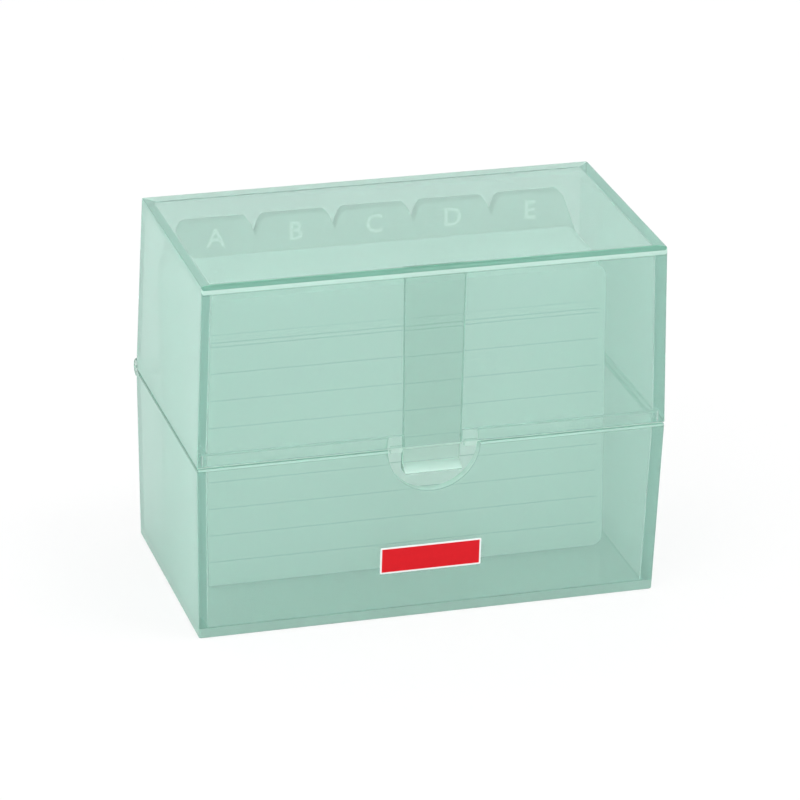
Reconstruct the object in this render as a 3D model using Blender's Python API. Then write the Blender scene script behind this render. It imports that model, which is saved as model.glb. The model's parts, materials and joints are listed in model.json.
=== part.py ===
"""Index card box: a tray and a hinged lid, with A7 cards and a register of dividers inside.

Metres, +Z up, the front towards -Y. The origin is on the floor under the middle of the box.
"""

import math

import bmesh
import bpy

MM = 0.001

# The cards, which give the box its size
CARD_WIDTH = 105.0 * MM
CARD_HEIGHT = 74.0 * MM
CARD_THICKNESS = 0.225 * MM
CARD_CORNER = 2.5 * MM
CARDS_IN_PACK = 4
PACK_COUNT = 25

# The register behind the cards, one letter to a divider
DIVIDER_ROWS = (
    ("a", "b", "c", "d", "e"),
    ("f", "g", "h", "ij", "k"),
    ("l", "m", "n", "o", "p"),
    ("q", "r", "s", "t", "u"),
    ("v", "w", "x", "y", "z"),
)
DIVIDER_THICKNESS = 0.12 * MM
TAB_HEIGHT = 9.0 * MM
TAB_FOOT_WIDTH = 23.2 * MM
TAB_SHOULDER_WIDTH = 18.4 * MM
TAB_SHOULDER_DROP = 2.1 * MM
TAB_TOP_WIDTH = 14.4 * MM
TAB_EDGE_MARGIN = 0.1 * MM

# How the cards and dividers stand, each on its own foot
REST_LEAN = math.radians(4.5)
FORWARD_LEAN = math.radians(10.0)
SLIP_GAP = 0.035 * MM
FOOT_GAP = 0.3 * MM
SIDE_ROOM = 3.15 * MM
FRONT_ROOM = 21.4 * MM
REAR_GAP = 0.7 * MM
HEAD_ROOM = 4.3 * MM

# The two mouldings
WALL = 2.5 * MM
FLOOR = 2.0 * MM
TOP = 2.0 * MM
TRAY_HEIGHT = 45.4 * MM
TRAY_DRAFT = math.radians(1.14)
LID_DRAFT = math.radians(1.43)
OUTER_CORNER = 1.0 * MM
INNER_CORNER = 0.6 * MM
EDGE_ROUND = 0.5 * MM
LIP_HEIGHT = 3.0 * MM
LIP_THICKNESS = 0.9 * MM
LIP_ROUND = 0.2 * MM
LIP_PLAY = 0.25 * MM
RIM_GAP = 0.3 * MM
SEAT_OVERLAP = 0.5 * MM
CUT_OVERRUN = 1.0 * MM

# The finger notch, and the lid's strip that ends in a tongue there
NOTCH_RADIUS = 11.6 * MM
STRIP_THICKNESS = 1.5 * MM
STRIP_TOP_WIDTH = 15.2 * MM
STRIP_RIM_WIDTH = 14.5 * MM
TONGUE_LENGTH = 6.7 * MM
TONGUE_RECESS = 0.1 * MM
LEDGE_THICKNESS = 0.4 * MM
LEDGE_RISE = 1.6 * MM
RIM_DIP = 0.05 * MM
SHOULDER_GAP = 0.6 * MM
SHOULDER_DROP = 0.65 * MM
SHOULDER_RECESS = 0.6 * MM
SHOULDER_THICKNESS = 1.1 * MM
SHOULDER_PLAY = 0.7 * MM

# The hinge at the two rear corners
HINGE_SETBACK = 0.8 * MM
EAR_RADIUS = 2.35 * MM
EAR_WIDTH = 2.6 * MM
EAR_INSET = 0.1 * MM
PIN_RADIUS = 0.95 * MM
PIN_PLAY = 0.1 * MM
PIN_INSET = 0.3 * MM
KNUCKLE_RADIUS = 1.6 * MM
KNUCKLE_WIDTH = 4.0 * MM
HINGE_PLAY = 0.25 * MM
STOP_REACH = 2.2 * MM
LID_STOP = math.radians(107.0)

# The label on the tray's front
LABEL_WIDTH = 25.7 * MM
LABEL_HEIGHT = 7.1 * MM
LABEL_THICKNESS = 0.15 * MM
LABEL_CORNER = 0.25 * MM
LABEL_GAP = 0.1 * MM
LABEL_DROP = 29.5 * MM

# Steps that round shapes are made in, and the least angle of an edge that shows
SHARP_ANGLE = math.radians(22.5)
CORNER_STEPS = 4
EDGE_STEPS = 3
SHOULDER_STEPS = 5
CIRCLE_STEPS = 32
NOTCH_STEPS = 72

# Sizes that follow
TRAY_SLOPE = math.tan(TRAY_DRAFT)
LID_SLOPE = math.tan(LID_DRAFT)
PACK_THICKNESS = CARDS_IN_PACK * CARD_THICKNESS
PACK_PITCH = PACK_THICKNESS / math.cos(FORWARD_LEAN) + SLIP_GAP
DIVIDER_PITCH = DIVIDER_THICKNESS / math.cos(FORWARD_LEAN) + SLIP_GAP
DIVIDER_COUNT = sum(len(row) for row in DIVIDER_ROWS)
DIVIDER_HEIGHT = CARD_HEIGHT + TAB_HEIGHT
STACK_DEPTH = PACK_COUNT * PACK_PITCH + DIVIDER_COUNT * DIVIDER_PITCH
LID_TOP = FLOOR + FOOT_GAP + DIVIDER_HEIGHT + HEAD_ROOM + TOP
LID_HEIGHT = LID_TOP - TRAY_HEIGHT
FLOOR_INSET = WALL + (TRAY_HEIGHT - FLOOR) * TRAY_SLOPE
TIP_HEIGHT = FLOOR + FOOT_GAP + DIVIDER_HEIGHT * math.cos(REST_LEAN)
TIP_INSET = WALL + (TIP_HEIGHT - TRAY_HEIGHT) * LID_SLOPE
TIP_SETBACK = DIVIDER_HEIGHT * math.sin(REST_LEAN)
HALF_WIDTH = CARD_WIDTH / 2 + SIDE_ROOM + FLOOR_INSET
HALF_DEPTH = (FLOOR_INSET + FRONT_ROOM + STACK_DEPTH + TIP_SETBACK + REAR_GAP + TIP_INSET) / 2
FRONT_FOOT = -HALF_DEPTH + FLOOR_INSET + FRONT_ROOM
RIM_HEIGHT = TRAY_HEIGHT + RIM_GAP
REBATE_HEIGHT = RIM_HEIGHT + LIP_HEIGHT
HINGE_DEPTH = HALF_DEPTH + HINGE_SETBACK
REAR_OVERHANG = HINGE_SETBACK + EAR_RADIUS


def add_finish(name, colour, roughness, alpha=1.0):
    """A plain material of one colour."""
    finish = bpy.data.materials.new(name)
    finish.use_nodes = True
    shader = finish.node_tree.nodes["Principled BSDF"]
    shader.inputs["Base Color"].default_value = (*colour, 1.0)
    shader.inputs["Roughness"].default_value = roughness
    shader.inputs["Metallic"].default_value = 0.0
    shader.inputs["Alpha"].default_value = alpha
    return finish


def add_empty(name, parent, place):
    """An empty that pieces are parented to."""
    empty = bpy.data.objects.new(name, None)
    bpy.context.scene.collection.objects.link(empty)
    empty.parent = parent
    empty.location = place
    return empty


def lofted(name, *bodies):
    """A mesh of closed bodies, each given as loops of points, with its first and last loop filled."""
    surface = bmesh.new()
    for loops in bodies:
        rings = [[surface.verts.new(point) for point in loop] for loop in loops]
        for near, far in zip(rings, rings[1:]):
            for here in range(len(near)):
                after = (here + 1) % len(near)
                surface.faces.new((near[here], near[after], far[after], far[here]))
        surface.faces.new(rings[0])
        surface.faces.new(rings[-1])
    bmesh.ops.recalc_face_normals(surface, faces=surface.faces)
    mesh = bpy.data.meshes.new(name)
    surface.to_mesh(mesh)
    surface.free()
    mesh.shade_smooth()
    mesh.set_sharp_from_angle(angle=SHARP_ANGLE)
    return mesh


def add_piece(name, mesh, finish, parent):
    """A sub-part of the box."""
    piece = bpy.data.objects.new(name, mesh)
    bpy.context.scene.collection.objects.link(piece)
    piece.parent = parent
    mesh.materials.append(finish)
    return piece


def add_tool(name, mesh, parent):
    """A shape that only joins or cuts another."""
    tool = bpy.data.objects.new(name, mesh)
    bpy.context.scene.collection.objects.link(tool)
    tool.parent = parent
    tool.hide_render = True
    tool.display_type = "WIRE"
    return tool


def combine(piece, operation, tool):
    """Joins a tool to a piece, or cuts it out."""
    change = piece.modifiers.new(tool.name, "BOOLEAN")
    change.operation = operation
    change.object = tool


def arc(centre, radius, start, end, steps):
    """Points of an arc, as pairs."""
    turns = [start + (end - start) * step / steps for step in range(steps + 1)]
    return [(centre[0] + radius * math.cos(t), centre[1] + radius * math.sin(t)) for t in turns]


def circle(centre, radius, steps):
    """Points of a whole circle, as pairs."""
    return arc(centre, radius, 0.0, math.tau, steps)[:-1]


def rounded_outline(half_width, half_height, radius):
    """A rectangle with round corners about the middle, as pairs."""
    outline = []
    for quarter, (side, end) in enumerate(((1, 1), (-1, 1), (-1, -1), (1, -1))):
        centre = (side * (half_width - radius), end * (half_height - radius))
        start = quarter * math.pi / 2
        outline += arc(centre, radius, start, start + math.pi / 2, CORNER_STEPS)
    return outline


def level_loop(inset, height, radius):
    """A level loop inside the box's outline at the parting line."""
    outline = rounded_outline(HALF_WIDTH - inset, HALF_DEPTH - inset, radius)
    return [(x, y, height) for x, y in outline]


def across(profile, near, far):
    """A body with a side-on profile of (depth, height) pairs, from one width to another."""
    return [[(x, y, z) for y, z in profile] for x in (near, far)]


def on_both_sides(profile, near, far):
    """Two such bodies, at the left and at the right."""
    return across(profile, near, far), across(profile, -far, -near)


def through(outline, near, far):
    """A body with a front-on outline of (width, height) pairs, from one depth to another."""
    return [[(x, y, z) for x, z in outline] for y in (near, far)]


def edge_arc(inset, height, upward):
    """Insets and heights round an outer edge, from its level face to its wall."""
    turns = arc((0.0, 0.0), EDGE_ROUND, math.pi / 2, 0.0, EDGE_STEPS)
    return [(inset + EDGE_ROUND - out, height + upward * (up - EDGE_ROUND)) for out, up in turns]


def tray_loops():
    """The tray's skin from under its floor, up outside, over the lip and down inside."""
    under = edge_arc(TRAY_HEIGHT * TRAY_SLOPE, 0.0, -1)
    loops = [level_loop(inset, height, OUTER_CORNER) for inset, height in under]
    lip_outside = WALL - LIP_THICKNESS
    lip_top = TRAY_HEIGHT + LIP_HEIGHT
    loops.append(level_loop(0.0, TRAY_HEIGHT, OUTER_CORNER))
    loops.append(level_loop(lip_outside, TRAY_HEIGHT, INNER_CORNER))
    loops.append(level_loop(lip_outside, lip_top - LIP_ROUND, INNER_CORNER))
    loops.append(level_loop(lip_outside + LIP_ROUND, lip_top, INNER_CORNER))
    loops.append(level_loop(WALL - LIP_ROUND, lip_top, INNER_CORNER))
    loops.append(level_loop(WALL, lip_top - LIP_ROUND, INNER_CORNER))
    loops.append(level_loop(WALL, TRAY_HEIGHT, INNER_CORNER))
    loops.append(level_loop(FLOOR_INSET, FLOOR, INNER_CORNER))
    return loops


def lid_loops():
    """The lid's skin from its top, down outside, round the rim and up inside."""
    over = edge_arc(LID_HEIGHT * LID_SLOPE, LID_TOP, 1)
    loops = [level_loop(inset, height, OUTER_CORNER) for inset, height in over]
    rebate = WALL - LIP_THICKNESS - LIP_PLAY
    ceiling = LID_TOP - TOP
    loops.append(level_loop(0.0, RIM_HEIGHT, OUTER_CORNER))
    loops.append(level_loop(rebate, RIM_HEIGHT, INNER_CORNER))
    loops.append(level_loop(rebate, REBATE_HEIGHT, INNER_CORNER))
    loops.append(level_loop(WALL, REBATE_HEIGHT, INNER_CORNER))
    loops.append(level_loop(WALL + (ceiling - TRAY_HEIGHT) * LID_SLOPE, ceiling, INNER_CORNER))
    return loops


def lid_face(depth, height):
    """A point of the lid's front wall, at a depth behind its outer face, as (y, z)."""
    return (-HALF_DEPTH + (height - TRAY_HEIGHT) * LID_SLOPE + depth, height)


def strip_half_width(height):
    """Half the width of the strip and its tongue, which widen towards the top."""
    share = (height - TRAY_HEIGHT) / LID_HEIGHT
    return (STRIP_RIM_WIDTH + (STRIP_TOP_WIDTH - STRIP_RIM_WIDTH) * share) / 2


def strip_loops():
    """The strip behind the lid's front wall, and the tongue that it ends in."""
    back = WALL + STRIP_THICKNESS
    under = TRAY_HEIGHT - TONGUE_LENGTH
    ledge = under + LEDGE_THICKNESS
    profile = [
        lid_face(SEAT_OVERLAP, LID_TOP - TOP / 2),
        lid_face(back, LID_TOP - TOP / 2),
        lid_face(back, under),
        lid_face(TONGUE_RECESS, under),
        lid_face(TONGUE_RECESS, ledge),
        lid_face(WALL, ledge + LEDGE_RISE),
        lid_face(WALL, TRAY_HEIGHT - RIM_DIP),
        lid_face(SEAT_OVERLAP, TRAY_HEIGHT - RIM_DIP),
    ]
    return [[(side * strip_half_width(z), y, z) for y, z in profile] for side in (-1, 1)]


def shoulder_bodies():
    """The two short skirts beside the tongue, which fill the top of the notch."""
    bottom = TRAY_HEIGHT - SHOULDER_DROP
    top = REBATE_HEIGHT + SEAT_OVERLAP
    back = SHOULDER_RECESS + SHOULDER_THICKNESS
    profile = [
        lid_face(SHOULDER_RECESS, bottom),
        lid_face(back, bottom),
        lid_face(back, top),
        lid_face(SHOULDER_RECESS, top),
    ]
    return on_both_sides(profile, STRIP_RIM_WIDTH / 2 + SHOULDER_GAP, NOTCH_RADIUS - SHOULDER_PLAY)


def round_on_hinge(radius):
    """A circle about the hinge line, as (depth, height) pairs."""
    return circle((HINGE_DEPTH, TRAY_HEIGHT), radius, CIRCLE_STEPS)


def ear_span():
    """The widths between which an ear lies."""
    outside = HALF_WIDTH - EAR_INSET
    return outside - EAR_WIDTH, outside


def knuckle_profile():
    """A knuckle, round below and square above, whose rear corner stops the open lid on the tray."""
    stop_turn = math.acos(-HINGE_SETBACK / STOP_REACH) - LID_STOP
    reach = STOP_REACH * math.cos(stop_turn)
    drop = STOP_REACH * math.sin(stop_turn)
    front = HINGE_SETBACK + SEAT_OVERLAP
    start = -math.asin(drop / KNUCKLE_RADIUS)
    end = math.acos(front / KNUCKLE_RADIUS) - math.pi
    profile = [(-front, KNUCKLE_RADIUS), (reach, KNUCKLE_RADIUS), (reach, -drop)]
    profile += arc((0.0, 0.0), KNUCKLE_RADIUS, start, end, CIRCLE_STEPS // 2)
    return [(HINGE_DEPTH + y, TRAY_HEIGHT + z) for y, z in profile]


def card_outline():
    """A card's face, standing on its foot, as (width, height) pairs."""
    outline = rounded_outline(CARD_WIDTH / 2, CARD_HEIGHT / 2, CARD_CORNER)
    return [(x, z + CARD_HEIGHT / 2) for x, z in outline]


def tab_outline(centre):
    """A tab's edge from its left foot over its top to its right foot."""
    shoulder = (TAB_SHOULDER_WIDTH / 2, DIVIDER_HEIGHT - TAB_SHOULDER_DROP)
    flank_share = TAB_SHOULDER_DROP / (TAB_HEIGHT - TAB_SHOULDER_DROP)
    bend = TAB_SHOULDER_WIDTH / 2 - (TAB_FOOT_WIDTH - TAB_SHOULDER_WIDTH) / 2 * flank_share
    right = []
    for step in range(SHOULDER_STEPS + 1):
        share = step / SHOULDER_STEPS
        near = (1 - share) ** 2
        far = share**2
        between = 1 - near - far
        width = near * TAB_TOP_WIDTH / 2 + between * bend + far * shoulder[0]
        right.append((width, near * DIVIDER_HEIGHT + between * DIVIDER_HEIGHT + far * shoulder[1]))
    right.append((TAB_FOOT_WIDTH / 2, CARD_HEIGHT))
    left = [(-x, z) for x, z in reversed(right)]
    return [(centre + x, z) for x, z in left + right]


def divider_outline(position, positions):
    """A divider's face: a sheet of a card's size with one tab on its top edge."""
    pitch = (CARD_WIDTH - TAB_FOOT_WIDTH - 2 * TAB_EDGE_MARGIN) / (positions - 1)
    centre = (position - (positions - 1) / 2) * pitch
    half = CARD_WIDTH / 2
    sheet = [(half, CARD_HEIGHT), (half, 0.0), (-half, 0.0), (-half, CARD_HEIGHT)]
    return tab_outline(centre) + sheet


def add_tray(parent, finish):
    """The lower half of the box, with its lip, finger notch and hinge ears."""
    tray = add_piece("tray", lofted("tray", tray_loops()), finish, parent)
    near, far = ear_span()
    ears = on_both_sides(round_on_hinge(EAR_RADIUS), near, far)
    ears = add_tool("ear_shapes", lofted("ears", *ears), parent)
    bore = round_on_hinge(PIN_RADIUS + PIN_PLAY)
    bores = on_both_sides(bore, near - HINGE_PLAY, far + CUT_OVERRUN)
    bores = add_tool("bore_cuts", lofted("bores", *bores), parent)
    knuckle_end = near - HINGE_PLAY
    seat = round_on_hinge(KNUCKLE_RADIUS + HINGE_PLAY)
    seats = on_both_sides(seat, knuckle_end - KNUCKLE_WIDTH - HINGE_PLAY, near)
    seats = add_tool("knuckle_cuts", lofted("seats", *seats), parent)
    outline = circle((0.0, TRAY_HEIGHT), NOTCH_RADIUS, NOTCH_STEPS)
    front = -HALF_DEPTH - CUT_OVERRUN
    notch = through(outline, front, -HALF_DEPTH + FLOOR_INSET + CUT_OVERRUN)
    notch = add_tool("notch_cut", lofted("notch", notch), parent)
    combine(tray, "DIFFERENCE", seats)
    combine(tray, "UNION", ears)
    combine(tray, "DIFFERENCE", bores)
    combine(tray, "DIFFERENCE", notch)
    return tray


def add_lid(parent, finish):
    """The upper half of the box, with its strip, tongue, knuckles and pins."""
    lid = add_piece("lid", lofted("lid", lid_loops()), finish, parent)
    near, far = ear_span()
    sweep = round_on_hinge(EAR_RADIUS + HINGE_PLAY)
    sweeps = on_both_sides(sweep, near - HINGE_PLAY, far + CUT_OVERRUN)
    sweeps = add_tool("ear_cuts", lofted("sweeps", *sweeps), parent)
    knuckle_end = near - HINGE_PLAY
    knuckles = on_both_sides(knuckle_profile(), knuckle_end - KNUCKLE_WIDTH, knuckle_end)
    knuckles = add_tool("knuckle_shapes", lofted("knuckles", *knuckles), parent)
    pins = on_both_sides(round_on_hinge(PIN_RADIUS), knuckle_end - SEAT_OVERLAP, far - PIN_INSET)
    pins = add_tool("pin_shapes", lofted("pins", *pins), parent)
    strip = add_tool("strip_shape", lofted("strip", strip_loops()), parent)
    shoulders = add_tool("shoulder_shapes", lofted("shoulders", *shoulder_bodies()), parent)
    combine(lid, "DIFFERENCE", sweeps)
    combine(lid, "UNION", knuckles)
    combine(lid, "UNION", pins)
    combine(lid, "UNION", shoulders)
    combine(lid, "UNION", strip)
    return lid


def add_label(parent, finish):
    """The plain label on the tray's front, which lies along the wall's draft."""
    outline = rounded_outline(LABEL_WIDTH / 2, LABEL_HEIGHT / 2, LABEL_CORNER)
    body = through(outline, -LABEL_THICKNESS, 0.0)
    label = add_piece("front_label", lofted("front_label", body), finish, parent)
    wall = -HALF_DEPTH + LABEL_DROP * TRAY_SLOPE
    label.location = (0.0, wall - LABEL_GAP, TRAY_HEIGHT - LABEL_DROP)
    label.rotation_euler.x = TRAY_DRAFT
    return label


def stand_sheet(name, mesh, finish, parent, foot):
    """A card pack or divider that stands on its foot and leans back."""
    hinge = add_empty(name + "_foot", parent, (0.0, foot, FLOOR + FOOT_GAP))
    sheet = add_piece(name, mesh, finish, hinge)
    hinge.rotation_euler.x = -REST_LEAN
    return sheet


def add_cards(parent, finish):
    """The packs of cards, from the front backwards. It returns where they end."""
    half = PACK_THICKNESS / 2
    mesh = lofted("card_pack", through(card_outline(), -half, half))
    for number in range(PACK_COUNT):
        foot = FRONT_FOOT + (number + 0.5) * PACK_PITCH
        stand_sheet(f"card_pack_{number + 1:02d}", mesh, finish, parent, foot)
    return FRONT_FOOT + PACK_COUNT * PACK_PITCH


def add_register(parent, finish, front):
    """The dividers behind the cards, in rows of tabs that run from left to right."""
    half = DIVIDER_THICKNESS / 2
    number = 0
    for row in DIVIDER_ROWS:
        for position, letter in enumerate(row):
            name = f"divider_{letter}"
            mesh = lofted(name, through(divider_outline(position, len(row)), -half, half))
            foot = front + (number + 0.5) * DIVIDER_PITCH
            stand_sheet(name, mesh, finish, parent, foot)
            number += 1


def main():
    """Builds the whole box."""
    for leftover in list(bpy.data.objects):
        bpy.data.objects.remove(leftover, do_unlink=True)
    mint = add_finish("mint_plastic", (0.52, 0.76, 0.66), 0.12, 0.45)
    paper = add_finish("card_paper", (0.93, 0.93, 0.91), 0.8)
    sheet = add_finish("divider_film", (0.75, 0.86, 0.81), 0.4)
    red = add_finish("label_film", (0.82, 0.02, 0.03), 0.35)
    centre = add_empty("box_centre", None, (0.0, -REAR_OVERHANG / 2, 0.0))
    add_tray(centre, mint)
    hinge_line = add_empty("hinge_line", centre, (0.0, HINGE_DEPTH, TRAY_HEIGHT))
    lid_frame = add_empty("lid_frame", hinge_line, (0.0, -HINGE_DEPTH, -TRAY_HEIGHT))
    add_lid(lid_frame, mint)
    add_label(centre, red)
    cards_end = add_cards(centre, paper)
    add_register(centre, sheet, cards_end)


main()
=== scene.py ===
"""The looks of an index card box: clear mint plastic, ruled cards, a register with tabs and a label."""

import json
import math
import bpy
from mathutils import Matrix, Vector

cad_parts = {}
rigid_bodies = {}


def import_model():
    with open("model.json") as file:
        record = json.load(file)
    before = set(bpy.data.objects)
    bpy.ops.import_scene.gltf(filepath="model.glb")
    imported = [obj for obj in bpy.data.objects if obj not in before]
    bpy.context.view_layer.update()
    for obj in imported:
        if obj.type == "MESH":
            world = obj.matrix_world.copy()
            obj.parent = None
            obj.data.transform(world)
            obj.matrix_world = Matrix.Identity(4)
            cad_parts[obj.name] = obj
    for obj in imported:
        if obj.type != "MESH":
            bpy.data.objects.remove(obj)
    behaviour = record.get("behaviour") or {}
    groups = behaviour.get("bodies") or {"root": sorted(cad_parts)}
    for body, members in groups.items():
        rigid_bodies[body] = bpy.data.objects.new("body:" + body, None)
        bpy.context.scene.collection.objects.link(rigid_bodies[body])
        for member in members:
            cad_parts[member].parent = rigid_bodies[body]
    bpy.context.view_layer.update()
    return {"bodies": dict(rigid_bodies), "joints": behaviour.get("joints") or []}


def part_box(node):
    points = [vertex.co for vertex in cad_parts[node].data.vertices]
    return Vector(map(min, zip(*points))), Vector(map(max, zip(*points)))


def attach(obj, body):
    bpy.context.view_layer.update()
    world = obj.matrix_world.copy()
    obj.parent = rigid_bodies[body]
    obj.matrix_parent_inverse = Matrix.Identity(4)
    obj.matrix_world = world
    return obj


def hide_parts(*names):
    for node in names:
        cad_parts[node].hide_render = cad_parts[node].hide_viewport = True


bl_info = {
    "name": "Index card box",
    "version": (1, 0, 0),
    "blender": (4, 5, 0),
    "location": "3D View > Sidebar > Card Box",
    "description": "Makes a clear index card box with its cards, register, label and studio",
    "category": "Add Mesh",
}

import bmesh
import bpy
from bpy.props import FloatProperty, FloatVectorProperty, IntProperty, PointerProperty
from bpy.types import Operator, Panel, PropertyGroup
from mathutils import Matrix, Vector

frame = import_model()

MM = 0.001

# What the frame says
JOINT_PLACES = {joint["child"]: Vector(joint["pos_m"]) for joint in frame["joints"]}
HINGE = JOINT_PLACES["lid"]
TRAY_LOW, TRAY_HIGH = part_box("tray")
PARTING = HINGE.z
FRONT = TRAY_LOW.y
HALF_WIDTH = TRAY_HIGH.x
LID_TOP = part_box("lid")[1].z
LABEL_MIDDLE = sum(corner.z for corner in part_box("front_label")) / 2


def named_sheets(start):
    """The bodies whose names start alike, from the front backwards."""
    names = [name for name in frame["bodies"] if name.startswith(start)]
    return sorted(names, key=lambda name: JOINT_PLACES[name].y)


PACKS = named_sheets("card_pack_")
DIVIDERS = named_sheets("divider_")


def length(default, description):
    """A length in millimetres that a user can change."""
    return FloatProperty, dict(default=default * MM, description=description, unit="LENGTH", precision=5)


def share(default, description):
    """A share from nothing to all."""
    return FloatProperty, dict(default=default, description=description, min=0.0, max=1.0, subtype="FACTOR")


def angle(default, description):
    """An angle in degrees that a user can change."""
    return FloatProperty, dict(default=math.radians(default), description=description, subtype="ANGLE")


def number(default, description):
    """A plain number that a user can change."""
    return FloatProperty, dict(default=default, description=description, precision=4)


def count(default, least, description):
    """A count that a user can change."""
    return IntProperty, dict(default=default, description=description, min=least)


def three(default, description, subtype):
    """Three shares that a user can change."""
    limits = {"size": 3, "min": 0.0, "max": 1.0}
    return FloatVectorProperty, dict(default=default, description=description, subtype=subtype, **limits)


def colour(default, description):
    """A colour that a user can change."""
    return three(default, description, "COLOR")


def look(default, description):
    """A face's share of haze, how much of it is a pale haze that paints light, and how much is a dark tint
    that paints shade on edges and darkens the plastic behind the strip.
    """
    return three(default, description, "XYZ")


def named(group):
    """Makes a group's settings into properties, each named after itself."""
    for key, (kind, given) in group.__annotations__.items():
        group.__annotations__[key] = kind(name=key.replace("_", " ").capitalize(), **given)
    return group


@named
class CARDBOX_PG_mouldings(PropertyGroup):
    """Sizes of the tray and the lid."""

    wall: length(2.5, "Thickness of the walls")
    floor: length(2.0, "Thickness of the tray's floor")
    top: length(2.0, "Thickness of the lid's top")
    tray_draft: angle(1.14, "Slope of the tray's walls")
    lid_draft: angle(1.43, "Slope of the lid's walls")
    outer_corner: length(0.5, "Radius of the upright outer edges")
    inner_corner: length(0.6, "Radius of the upright inner edges")
    foot_round: length(0.6, "Rounding of the tray's lowest edge")
    crown_round: length(0.35, "Rounding of the lid's top edge at the sides and rear")
    brow_round: length(1.8, "Rounding of the lid's top edge at the front")
    inside_round: length(0.5, "Rounding where the walls meet the floor and top")
    # The band under the front rounding gets a painted dark line.
    brow_line: length(0.3, "Height of the dark line under that rounding")
    rim_round: length(0.12, "Rounding of the thin rims")
    step_round: length(0.5, "Rounding of the tray's outer edge at the parting line")
    # The band under the step gets a painted dark line.
    step_line: length(0.2, "Height of the dark line under that rounding")
    skirt_round: length(0.3, "Rounding of the lid's outer edge at the parting line")
    lip_height: length(3.0, "Height of the tray's lip over the parting line")
    lip_thickness: length(0.9, "Thickness of the tray's lip")
    lip_play: length(0.25, "Gap between the lip and the lid")
    rim_gap: length(0.3, "Gap at the parting line")
    # The band outside the floor gets painted light.
    foot_height: length(2.7, "Height of the hazy band outside the tray's floor")
    # The border at the rear of the top gets painted light.
    rear_border: length(3.4, "Width of the hazy border at the rear of the top")
    flat_edge: length(5.0, "Width of the flat border inside the floor and top")


@named
class CARDBOX_PG_closure(PropertyGroup):
    """Sizes of the finger notch, the strip with its tongue, and the hinge."""

    notch_radius: length(11.6, "Radius of the finger notch")
    notch_round: length(0.2, "Rounding of the notch's edge")
    strip_thickness: length(1.5, "Thickness of the strip behind the lid's front")
    strip_top_width: length(15.2, "Width of the strip at the lid's top")
    strip_rim_width: length(14.5, "Width of the strip at the parting line")
    strip_round: length(0.18, "Rounding of the strip's edges")
    tongue_length: length(6.7, "Reach of the tongue below the parting line")
    tongue_recess: length(0.1, "Setback of the tongue's end from the front")
    ledge_thickness: length(0.4, "Thickness of the tongue's end")
    ledge_rise: length(1.6, "Height of the slope over the tongue's end")
    rim_dip: length(0.05, "Reach of the strip's root below the parting line")
    seat: length(0.5, "Overlap of a joined shape with its wall")
    skirt_gap: length(0.6, "Gap between the tongue and the skirts beside it")
    skirt_drop: length(1.0, "Reach of the skirts below the parting line")
    skirt_recess: length(0.6, "Setback of the skirts from the front")
    skirt_thickness: length(1.1, "Thickness of the skirts")
    skirt_play: length(0.7, "Gap between the skirts and the notch")
    hinge_setback: length(0.8, "Distance of the hinge line behind the rear wall")
    ear_radius: length(2.35, "Radius of the tray's hinge ears")
    ear_width: length(2.6, "Width of a hinge ear")
    ear_inset: length(0.1, "Setback of an ear from the box's side")
    ear_round: length(0.25, "Rounding of an ear's edges")
    pin_radius: length(0.95, "Radius of the lid's hinge pins")
    pin_play: length(0.1, "Gap round a hinge pin")
    pin_inset: length(0.3, "Setback of a pin's end")
    knuckle_radius: length(1.6, "Radius of the lid's knuckles")
    knuckle_width: length(4.0, "Width of a knuckle")
    hinge_play: length(0.25, "Gap between ears and knuckles")
    stop_reach: length(2.2, "Reach of the corner that stops the open lid")
    lid_stop: angle(107.0, "Angle at which the lid meets its stop")


@named
class CARDBOX_PG_cards(PropertyGroup):
    """Sizes of the cards and of the register."""

    width: length(105.0, "Width of a card")
    height: length(74.0, "Height of a card")
    corner: length(2.5, "Radius of a card's corners")
    sheet: length(0.2, "Thickness of one card")
    spacing: length(0.225, "Distance from card to card within a pack")
    in_pack: count(4, 1, "Number of cards in a pack")
    stray: length(0.25, "How far a card strays sideways")
    lean: angle(4.5, "How far the cards lean back")
    row_start: length(6.3, "Height of the lowest ruled line on a card")
    row_pitch: length(7.0, "Distance between ruled lines")
    rows_end: length(58.0, "Height above which no plain ruled line lies")
    head_low: length(62.1, "Height of the lower head line")
    head_high: length(63.2, "Height of the upper head line")
    head_faint: length(65.2, "Height of the faint head line")
    line_width: length(0.22, "Width of a ruled line")
    line_margin: length(1.6, "Distance of the ruled lines from the card's sides")
    film: length(0.12, "Thickness of a divider")
    tab_height: length(9.0, "Height of a tab over the cards")
    tab_foot: length(23.2, "Width of a tab at its foot")
    tab_shoulder: length(18.4, "Width of a tab at its shoulder")
    tab_shoulder_drop: length(2.1, "Depth of the shoulder below the tab's top")
    tab_top: length(14.4, "Width of a tab's flat top")
    tab_margin: length(0.1, "Gap from the outer tabs to the divider's edge")
    letter_size: length(6.6, "Size of the letters on the tabs")
    letter_rise: length(4.6, "Height of a letter's middle over the cards")
    letter_print: length(0.015, "Thickness of a printed letter")
    letter_weight: length(0.12, "How much bolder a letter is drawn")
    tabs_in_row: count(5, 2, "Number of tab positions")


@named
class CARDBOX_PG_label(PropertyGroup):
    """Sizes of the label."""

    width: length(25.7, "Width of the label")
    height: length(7.1, "Height of the label")
    corner: length(0.3, "Radius of the label's corners")
    border: length(0.42, "Width of the white border")
    film: length(0.12, "Thickness of the label")
    gap: length(0.02, "Gap between the label and the wall")
    edge_round: length(0.03, "Rounding of the label's edge")


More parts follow.
